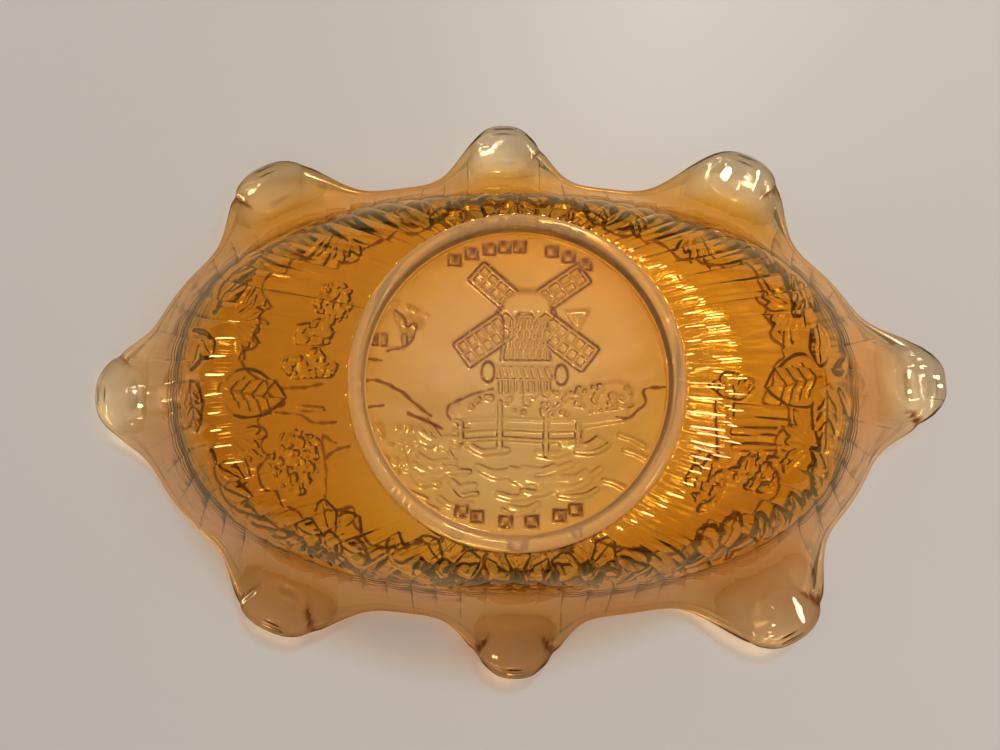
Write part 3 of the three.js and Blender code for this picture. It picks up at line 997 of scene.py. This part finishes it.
def build_wall(mesh, picture, film_and_shade_map, first, last):
    middle = (first + last) / 2 / FLUTES
    turn = turn_columns(first, last, OUTER_COLUMNS)[:, None]
    run, span = even_rows(middle, 0, 1, WALL_OUTER_PITCH)
    run = close_rows(run, 1, span)[None, :]
    turn, run = np.broadcast_arrays(turn, run)
    point, normal, _ = skin_at(turn, run)
    from_border = running_length(point[:, ::-1])[:, ::-1]
    cut = flute_cut(turn, run) + line_cut(-from_border)
    outer = mesh.add_points(point - normal * cut[..., None], run, brick_darkening(turn, -from_border), 0)

    turn = turn_columns(first, last, INNER_COLUMNS)[:, None]
    run, _ = even_rows(middle, 0, 1, WALL_INNER_PITCH)
    turn, run = np.broadcast_arrays(turn, run[None, :])
    point, normal, _ = skin_at(turn, run)
    plain = point - WALL * normal
    fade = smooth((1 - run) / 0.06)
    raised = picture.sample(picture.height, plain[..., 0], plain[..., 1]) * fade + striae(turn, run)
    film_and_shade = picture.sample(film_and_shade_map, plain[..., 0], plain[..., 1]) * fade
    inner = mesh.add_points(plain - normal * raised[..., None], run, film_and_shade, 0)

    mesh.add_sheet(outer, flip=True)
    mesh.add_sheet(inner)
    mesh.zip_rows(inner[0], outer[0])
    mesh.zip_rows(outer[-1], inner[-1])
    mesh.zip_rows(outer[:, 0], inner[:, 0])
    mesh.zip_rows(inner[:, -1], outer[:, -1])


def tip_shape(turn, from_rim):
    """How a rim point's end is lifted, swollen and folded, and how clear its glass is."""
    lift = swell = fold = clear = 0
    for rim_point, share in zip(RIM_POINTS, point_shares(turn)):
        past = past_crest(turn, rim_point)
        from_middle = np.hypot(past / TIP_HALF_WIDTH, (from_rim - TIP_MIDDLE) / TIP_HALF_LENGTH)
        round_end = np.exp(-(from_middle**3))
        lift = lift + TIP_LIFT * round_end
        swell = swell + TIP_SWELL * round_end
        clear = clear + rim_point.clearness * share * smooth((15 - from_rim) / 9)
        for side, depth in ((-1, rim_point.fold_before), (1, rim_point.fold_after)):
            line = side * past - (FOLD_FROM_CREST - FOLD_LEAN * from_rim)
            fold = fold + depth * bell(line, FOLD_WIDTH) * smooth((9 - from_rim) / 5)
    return lift, swell, fold, clear


def build_rim_point(mesh, first, last):
    middle = (first + last) / 2 / FLUTES
    turn = turn_columns(first, last, OUTER_COLUMNS)[:, None]
    run, span = even_rows(middle, 1 + PROBE, 2, BAND_PITCH)
    run = close_rows(run, 1, span)
    run = np.maximum(run, 1 + PROBE)[None, :]
    turn, run = np.broadcast_arrays(turn, run)
    point, normal, down = skin_at(turn, run)
    from_border = running_length(point)
    from_rim = from_border[:, -1:] - from_border
    lift, swell, fold, clear = tip_shape(turn, from_rim)
    cut = flute_cut(turn, run) + line_cut(from_border) + FOLD_DEPTH * fold - lift
    outer = point - normal * cut[..., None]
    thickness = WALL + swell - cut
    inner = outer - normal * thickness[..., None]
    radius = (thickness[:, -1:] / 2)[..., None]
    centre = outer[:, -1:] - normal[:, -1:] * radius
    angle = (math.pi * np.arange(1, EDGE_STEPS) / EDGE_STEPS)[None, :, None]
    set_back = down[:, -1:] * (radius - RIM_RADIUS)
    edge = centre - set_back + radius * (np.cos(angle) * normal[:, -1:] + np.sin(angle) * down[:, -1:])
    loop = np.concatenate([outer, edge, inner[:, ::-1]], axis=1)
    rim_run = np.full(edge.shape[:-1], 2.0)
    loop_run = np.concatenate([run, rim_run, run[:, ::-1]], axis=1)
    rim_clear = np.repeat(clear[:, -1:], EDGE_STEPS - 1, axis=1)
    loop_clear = np.concatenate([clear, rim_clear, clear[:, ::-1]], axis=1)
    # The folds are darkened with painted shade
    rim_fold = np.repeat(fold[:, -1:], EDGE_STEPS - 1, axis=1)
    loop_fold_shade = np.concatenate([fold, rim_fold, fold[:, ::-1]], axis=1) ** 2
    index = mesh.add_points(loop, loop_run, loop_fold_shade, loop_clear)
    mesh.add_sheet(index, flip=True)
    half = index.shape[1] // 2
    back = index[:, ::-1]
    mesh.zip_rows(back[0, : half + 1], index[0, : half + 1])
    mesh.zip_rows(index[-1, : half + 1], back[-1, : half + 1])
    mesh.zip_rows(index[:, 0], back[:, 0])


def disc_grid(cells, radius):
    """A square grid drawn out to fill a disc."""
    side = np.linspace(-1, 1, cells + 1)
    u, v = np.meshgrid(side, side, indexing="ij")
    return radius * u * np.sqrt(1 - v * v / 2), radius * v * np.sqrt(1 - u * u / 2)


def grid_rim(index):
    """The point numbers round a grid's rim, anticlockwise and closed, from its first corner."""
    return np.concatenate([index[:-1, 0], index[-1, :-1], index[:0:-1, -1], index[0, ::-1]])


def build_base(mesh, picture, film_and_shade_map):
    top_radius = FOOT_RADIUS - FOOT_WIDTH - FILLET
    x, y = disc_grid(DISC_TOP_CELLS, top_radius)
    run = np.hypot(x, y) / START_RADIUS - 1
    top = mesh.add_points(np.stack([x, y, np.full_like(x, BASE_HEIGHT)], axis=-1), run, 0, 0)

    slope = math.radians(WALL_START_SLOPE)
    inner_radius = START_RADIUS - WALL * math.sin(slope)
    edge_rise = BASE_THICKNESS - WALL * math.cos(slope)
    x, y = disc_grid(DISC_CELLS, inner_radius)
    radius = np.hypot(x, y)
    bend = np.clip(2 * radius / inner_radius - 1, 0, 1)
    plain = BASE_HEIGHT - BASE_THICKNESS + edge_rise * bend**5
    raised = picture.sample(picture.height, x, y)
    film_and_shade = picture.sample(film_and_shade_map, x, y)
    run = radius / inner_radius - 1
    clear = CLEAR_WATER * smooth((4 - y) / 12) * smooth((0.94 - radius / inner_radius) / 0.1)
    inner = mesh.add_points(np.stack([x, y, plain - raised], axis=-1), run, film_and_shade, clear)

    corner = math.radians(-135)
    around = corner + 2 * math.pi * np.arange(RING_COLUMNS + 1) / RING_COLUMNS
    circle = np.stack([np.cos(around), np.sin(around), np.zeros_like(around)], axis=-1)
    outer = mesh.add_points(circle[:-1] * START_RADIUS + (0, 0, BASE_HEIGHT), 0, 0, 0)
    outer = np.append(outer, outer[0])

    mesh.add_sheet(top)
    mesh.add_sheet(inner, flip=True)
    mesh.zip_rows(outer, grid_rim(top))
    mesh.zip_rows(grid_rim(inner), outer)


def foot_profile():
    """The ring's section as (radius, height), from the base inside it, over, to the wall outside."""
    inner = FOOT_RADIUS - FOOT_WIDTH
    middle = (inner + FOOT_RADIUS) / 2
    half = FOOT_WIDTH / 2
    rise = BOWL_HEIGHT - BASE_HEIGHT - MOULD_SEAM_HEIGHT
    profile = []
    for step in range(9):
        angle = math.radians(90 * step / 8)
        profile.append((inner - FILLET + FILLET * math.sin(angle), FILLET * (1 - math.cos(angle))))
    for step in range(41):
        angle = math.radians(180 - 180 * step / 40)
        bulge = abs(math.sin(angle)) ** 0.3
        profile.append((middle + half * math.cos(angle), FILLET + (rise - FILLET) * bulge))
    for step in range(9):
        angle = math.radians(90 * step / 8)
        profile.append((FOOT_RADIUS + SEAM * (1 - math.cos(angle)), FILLET * (1 - math.sin(angle))))
    return np.array(profile)


def build_foot(mesh):
    profile = foot_profile()
    around = 2 * math.pi * np.arange(RING_COLUMNS + 1) / RING_COLUMNS
    radius, rise = profile[:, 0], profile[:, 1]
    x = np.cos(around)[:, None] * radius[None, :]
    y = np.sin(around)[:, None] * radius[None, :]
    seam = bell(y, MOULD_SEAM_WIDTH) * smooth(rise / FILLET)[None, :]
    z = BASE_HEIGHT + rise[None, :] + MOULD_SEAM_HEIGHT * seam
    points = np.stack([x, y, z], axis=-1)[:-1]
    index = mesh.add_points(points, -0.05, 0, 0)
    index = np.concatenate([index, index[:1]])
    mesh.add_sheet(index, flip=True)
    mesh.zip_rows(index[:, 0], index[:, -1])


# ---------- Materials ----------

# Tint that one full pass through the glass gives, from the middle of the base to the rim
TINTS = [
    (0.0, (0.94, 0.84, 0.62)),
    (0.22, (0.90, 0.71, 0.36)),
    (0.33, (0.83, 0.52, 0.09)),
    (0.40, (0.79, 0.44, 0.02)),
    (0.56, (0.78, 0.42, 0.02)),
    (0.64, (0.70, 0.39, 0.06)),
    (0.68, (0.68, 0.44, 0.21)),
    (0.84, (0.76, 0.56, 0.36)),
    (1.0, (0.78, 0.60, 0.40)),
]
CLOUD = (0.76, 0.38, 0.10)
BACK_AMBER = (0.73, 0.42, 0.05)
FRONT_BROWN = (0.56, 0.33, 0.13)
CLEAR = (0.82, 0.73, 0.56)
# Dark film and painted shade, mixed into the tint
FILM_AND_SHADE_TINT = (0.30, 0.085, 0.008)
# The tints behind and before the middle: where each starts and is full, in metres, and its share
SIDE_TINTS = ((BACK_AMBER, 0.005, 0.038, 0.9), (FRONT_BROWN, -0.032, -0.052, 0.7))

SHEEN = (0.98, 0.84, 0.60)
# A dull layer of dark film and painted shade
FILM_AND_SHADE_COLOUR = (0.16, 0.045, 0.006)
# The foot's pale layer of wear and painted sheen
WORN_GLASS_AND_PAINTED_SHEEN = (0.74, 0.45, 0.21)
GLASS_IOR = 1.5
GLASS_ROUGHNESS = 0.03
FILM_IOR = 1.9
FILM_THICKNESS = (238, 268)
UNFILMED_SHARE = 0.7
FILM_AND_SHADE_SHARE = 0.85
BOWL_SHEEN = 0.2
FOOT_SHEEN = 0.16
FOOT_WEAR_AND_PAINTED_SHEEN = 0.42
CLOUD_SCALE = 38
FILM_SCALE = 22
GRAIN_SCALE = 260
ROLL_SCALE = 110

TABLE_TONES = [(0.3, (0.57, 0.545, 0.53)), (0.7, (0.61, 0.585, 0.57))]


def new_material(name):
    material = bpy.data.materials.new(name)
    material.use_nodes = True
    nodes = material.node_tree.nodes
    nodes.clear()
    return material, nodes, material.node_tree.links


def add_node(nodes, kind, values):
    """A new node with numbers and colours on its own sockets."""
    node = nodes.new(kind)
    for name, value in values.items():
        node.inputs[name].default_value = (*value, 1) if isinstance(value, tuple) else value
    return node


def show(nodes, links, shader):
    output = nodes.new("ShaderNodeOutputMaterial")
    links.new(shader.outputs[0], output.inputs["Surface"])


def ramp(nodes, stops):
    """A colour ramp through (position, colour) stops."""
    node = nodes.new("ShaderNodeValToRGB")
    elements = node.color_ramp.elements
    while len(elements) > 1:
        elements.remove(elements[-1])
    for place, (position, colour) in enumerate(stops):
        element = elements[0] if place == 0 else elements.new(position)
        element.position = position
        element.color = (*colour, 1)
    return node


def value_of(nodes, name):
    node = nodes.new("ShaderNodeAttribute")
    node.attribute_name = name
    return node.outputs["Fac"]


def noise(nodes, links, coordinates, scale, detail):
    node = add_node(nodes, "ShaderNodeTexNoise", {"Scale": scale, "Detail": detail})
    links.new(coordinates, node.inputs["Vector"])
    return node.outputs["Fac"]


def bumps(nodes, links, height, strength, distance):
    node = add_node(nodes, "ShaderNodeBump", {"Strength": strength, "Distance": distance})
    links.new(height, node.inputs["Height"])
    return node


def map_range(nodes, links, value, low, high, to_low=0.0, to_high=1.0):
    limits = {"From Min": low, "From Max": high, "To Min": to_low, "To Max": to_high}
    node = add_node(nodes, "ShaderNodeMapRange", limits)
    links.new(value, node.inputs["Value"])
    return node.outputs["Result"]


def blend_colours(nodes, links, share, first, second):
    """One colour over another by a share; the first and the share are sockets."""
    node = nodes.new("ShaderNodeMix")
    node.data_type = "RGBA"
    links.new(share, node.inputs["Factor"])
    links.new(first, node.inputs["A"])
    node.inputs["B"].default_value = (*second, 1)
    return node.outputs["Result"]


def mix_shaders(nodes, links, share, first, second):
    node = nodes.new("ShaderNodeMixShader")
    if isinstance(share, bpy.types.NodeSocket):
        links.new(share, node.inputs[0])
    else:
        node.inputs[0].default_value = share
    links.new(first.outputs[0], node.inputs[1])
    links.new(second.outputs[0], node.inputs[2])
    return node


def glass_colour(nodes, links, coordinates):
    """The tint from base to rim, clouded, shaded behind and before, then cleared and darkened by dark
    film and painted shade.
    """
    tint = ramp(nodes, TINTS)
    links.new(map_range(nodes, links, value_of(nodes, "run"), -1, 2), tint.inputs["Fac"])
    cloud = noise(nodes, links, coordinates, CLOUD_SCALE, 3)
    share = map_range(nodes, links, cloud, 0.35, 0.7, 0, 0.35)
    colour = blend_colours(nodes, links, share, tint.outputs["Color"], CLOUD)
    across = nodes.new("ShaderNodeSeparateXYZ")
    links.new(coordinates, across.inputs["Vector"])
    for tone, start, full, most in SIDE_TINTS:
        share = map_range(nodes, links, across.outputs["Y"], start, full, 0, most)
        colour = blend_colours(nodes, links, share, colour, tone)
    for name, tone in (("clear", CLEAR), ("film_and_shade", FILM_AND_SHADE_TINT)):
        colour = blend_colours(nodes, links, value_of(nodes, name), colour, tone)
    return colour


def glass_material(name, sheen, wear_and_painted_sheen):
    """Marigold glass with a share of coppery film sheen, a dull layer of dark film and painted shade,
    and a share rubbed dull by use and painted with a pale coppery sheen.
    """
    material, nodes, links = new_material(name)
    coordinates = nodes.new("ShaderNodeTexCoord").outputs["Object"]
    colour = glass_colour(nodes, links, coordinates)
    root = add_node(nodes, "ShaderNodeGamma", {"Gamma": 0.5})
    links.new(colour, root.inputs["Color"])
    film = noise(nodes, links, coordinates, FILM_SCALE, 2)
    thickness = map_range(nodes, links, film, 0.3, 0.7, *FILM_THICKNESS)
    grain = bumps(nodes, links, noise(nodes, links, coordinates, GRAIN_SCALE, 2), 0.08, 0.0004)
    roll = bumps(nodes, links, noise(nodes, links, coordinates, ROLL_SCALE, 1), 1, 0.0003)
    links.new(grain.outputs["Normal"], roll.inputs["Normal"])

    surface = {"IOR": GLASS_IOR, "Roughness": GLASS_ROUGHNESS}
    film_values = {"Transmission Weight": 1, "Thin Film IOR": FILM_IOR}
    filmed = add_node(nodes, "ShaderNodeBsdfPrincipled", surface | film_values)
    links.new(colour, filmed.inputs["Base Color"])
    links.new(thickness, filmed.inputs["Thin Film Thickness"])
    tinted = add_node(nodes, "ShaderNodeBsdfGlass", surface)
    links.new(root.outputs["Color"], tinted.inputs["Color"])
    copper = add_node(nodes, "ShaderNodeBsdfGlossy", {"Color": SHEEN, "Roughness": 0.1})
    for shader, relief in ((filmed, roll), (tinted, roll), (copper, grain)):
        links.new(relief.outputs["Normal"], shader.inputs["Normal"])

    glass = mix_shaders(nodes, links, UNFILMED_SHARE, filmed, tinted)
    from_inside = nodes.new("ShaderNodeNewGeometry").outputs["Backfacing"]
    inside_sheen = map_range(nodes, links, from_inside, 0, 1, 0, sheen)
    glass = mix_shaders(nodes, links, inside_sheen, glass, copper)
    # A dull layer of dark film and painted shade over the picture's steep sides, its drawn lines and the
    # rim points' folds
    film_and_shade_layer = add_node(nodes, "ShaderNodeBsdfDiffuse", {"Color": FILM_AND_SHADE_COLOUR})
    share = map_range(nodes, links, value_of(nodes, "film_and_shade"), 0.3, 1, 0, FILM_AND_SHADE_SHARE)
    body = mix_shaders(nodes, links, share, glass, film_and_shade_layer)
    # The foot's pale coppery layer stands for wear and a painted sheen
    if wear_and_painted_sheen:
        frosted_and_painted_sheen = add_node(nodes, "ShaderNodeBsdfDiffuse", {"Color": WORN_GLASS_AND_PAINTED_SHEEN})
        body = mix_shaders(nodes, links, wear_and_painted_sheen, body, frosted_and_painted_sheen)

    shade = nodes.new("ShaderNodeBsdfTransparent")
    links.new(root.outputs["Color"], shade.inputs["Color"])
    is_shadow = nodes.new("ShaderNodeLightPath").outputs["Is Shadow Ray"]
    show(nodes, links, mix_shaders(nodes, links, is_shadow, body, shade))
    return material


def joint_material():
    """Where two regions of the one pressing meet there is no surface, so light passes unchanged."""
    material, nodes, links = new_material("unbroken_glass")
    show(nodes, links, nodes.new("ShaderNodeBsdfTransparent"))
    return material


def table_material():
    material, nodes, links = new_material("pale_table")
    coordinates = nodes.new("ShaderNodeTexCoord").outputs["Object"]
    pale = ramp(nodes, TABLE_TONES)
    links.new(noise(nodes, links, coordinates, 3, 2), pale.inputs["Fac"])
    top = add_node(nodes, "ShaderNodeBsdfPrincipled", {"Roughness": 0.45})
    links.new(pale.outputs["Color"], top.inputs["Base Color"])
    show(nodes, links, top)
    return material


# ---------- Pieces ----------

def add_piece(name, fill, node, materials):
    mesh = Mesh()
    fill(mesh)
    piece = mesh.build(name, materials)
    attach(piece, "root")
    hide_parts(node)
    return piece


def build_bowl():
    picture = pressed_picture()
    film_and_shade_map = picture.film_and_shade()
    materials = [glass_material("marigold_glass", BOWL_SHEEN, 0), joint_material()]
    foot_materials = [glass_material("marigold_foot", FOOT_SHEEN, FOOT_WEAR_AND_PAINTED_SHEEN), materials[1]]
    add_piece(
        "glass_base",
        lambda mesh: build_base(mesh, picture, film_and_shade_map),
        "base_disc",
        materials,
    )
    add_piece("glass_foot_ring", build_foot, "foot_ring", foot_materials)
    for index, rim_point in enumerate(RIM_POINTS):
        place = rim_point.place
        first, last = panel_sides(index)
        add_piece(
            f"glass_wall_{place}",
            lambda mesh: build_wall(mesh, picture, film_and_shade_map, first, last),
            f"wall_{place}",
            materials,
        )
        add_piece(
            f"glass_rim_{place}",
            lambda mesh: build_rim_point(mesh, first, last),
            f"rim_point_{place}",
            materials,
        )


# ---------- Stage, light and camera ----------

# The table, in metres
FLOOR_HALF = 8.0
# The lamps' colour, then the room's: level and lower, about 20 degrees up, and overhead
WARM = (1.0, 0.93, 0.84)
HORIZON = (0.27, 0.15, 0.07)
MID_ROOM = (0.75, 0.70, 0.65)
CEILING = (0.92, 0.87, 0.82)
ROOM_STRENGTH = 0.42
# Two soft bright places on the ceiling, which the base reflects, and the unit directions to them
GLOW = (2.6, 2.45, 2.25)
GLOW_DIRECTIONS = ((-0.06, 0.17, 0.984), (0.10, 0.19, 0.977))


def build_floor():
    mesh = bpy.data.meshes.new("table_top")
    half = FLOOR_HALF
    corners = [(-half, -half, 0), (half, -half, 0), (half, half, 0), (-half, half, 0)]
    mesh.from_pydata(corners, [], [(0, 1, 2, 3)])
    mesh.materials.append(table_material())
    floor = bpy.data.objects.new("table_top", mesh)
    bpy.context.scene.collection.objects.link(floor)


def add_light(name, azimuth, elevation, distance, size, power, colour):
    """A round soft light that looks at the bowl. Azimuth is from +X towards +Y."""
    light = bpy.data.lights.new(name, "AREA")
    light.shape = "ELLIPSE"
    light.size, light.size_y = size
    light.energy = power
    light.color = colour
    lamp = bpy.data.objects.new(name, light)
    a, e = math.radians(azimuth), math.radians(elevation)
    lamp.location = (
        distance * math.cos(a) * math.cos(e),
        distance * math.sin(a) * math.cos(e),
        distance * math.sin(e),
    )
    lamp.rotation_euler = (math.radians(90) - e, 0, a + math.radians(90))
    bpy.context.scene.collection.objects.link(lamp)


def build_light():
    world = bpy.data.worlds.new("room")
    bpy.context.scene.world = world
    world.use_nodes = True
    nodes, links = world.node_tree.nodes, world.node_tree.links
    direction = nodes.new("ShaderNodeTexCoord").outputs["Generated"]
    parts = nodes.new("ShaderNodeSeparateXYZ")
    links.new(direction, parts.inputs["Vector"])
    sky = ramp(nodes, [(0.0, HORIZON), (0.35, MID_ROOM), (0.9, CEILING)])
    links.new(parts.outputs["Z"], sky.inputs["Fac"])
    room = sky.outputs["Color"]
    for glow_direction in GLOW_DIRECTIONS:
        nearness = nodes.new("ShaderNodeVectorMath")
        nearness.operation = "DOT_PRODUCT"
        nearness.inputs[1].default_value = glow_direction
        links.new(direction, nearness.inputs[0])
        glow = map_range(nodes, links, nearness.outputs["Value"], 0.988, 0.9995)
        room = blend_colours(nodes, links, glow, room, GLOW)
    links.new(room, nodes["Background"].inputs["Color"])
    nodes["Background"].inputs["Strength"].default_value = ROOM_STRENGTH
    add_light("soft_above", 70, 52, 1.8, (0.32, 0.32), 12.5, WARM)
    add_light("soft_right", -25, 46, 1.8, (0.2, 0.2), 2.2, WARM)
    for across in (-1, 1):
        for along in (-1, 1):
            name = f"ceiling_lamp_{across + along * 2 + 3}"
            add_light(name, 75 + 5 * across, 66 + 1.6 * along, 2.0, (0.07, 0.07), 0.8, WARM)
    for index in range(4):
        add_light(f"ceiling_right_{index}", 2 + 12 * index, 42, 2.2, (0.14, 0.14), 1.3, WARM)
    add_light("window_left", 182, 12, 1.6, (0.12, 0.3), 1.2, (1, 1, 1))


# The camera's place about the foot's centre, in millimetres, its turn, and its lens
CAMERA_PLACE = (-4.1, -13.3, 186.1)
CAMERA_TURN = (5.68, -0.38, 0.71)
LENS = 26.64


def build_camera():
    data = bpy.data.cameras.new("camera")
    data.lens = LENS
    data.sensor_width = 36
    data.clip_start = 0.01
    camera = bpy.data.objects.new("camera", data)
    place = np.array(CAMERA_PLACE) + (FOOT_X, FOOT_Y, 0)
    camera.location = place * METRES
    camera.rotation_euler = [math.radians(angle) for angle in CAMERA_TURN]
    bpy.context.scene.collection.objects.link(camera)
    bpy.context.scene.camera = camera


build_bowl()
build_floor()
build_light()
build_camera()
bpy.context.scene.view_settings.view_transform = "Standard"
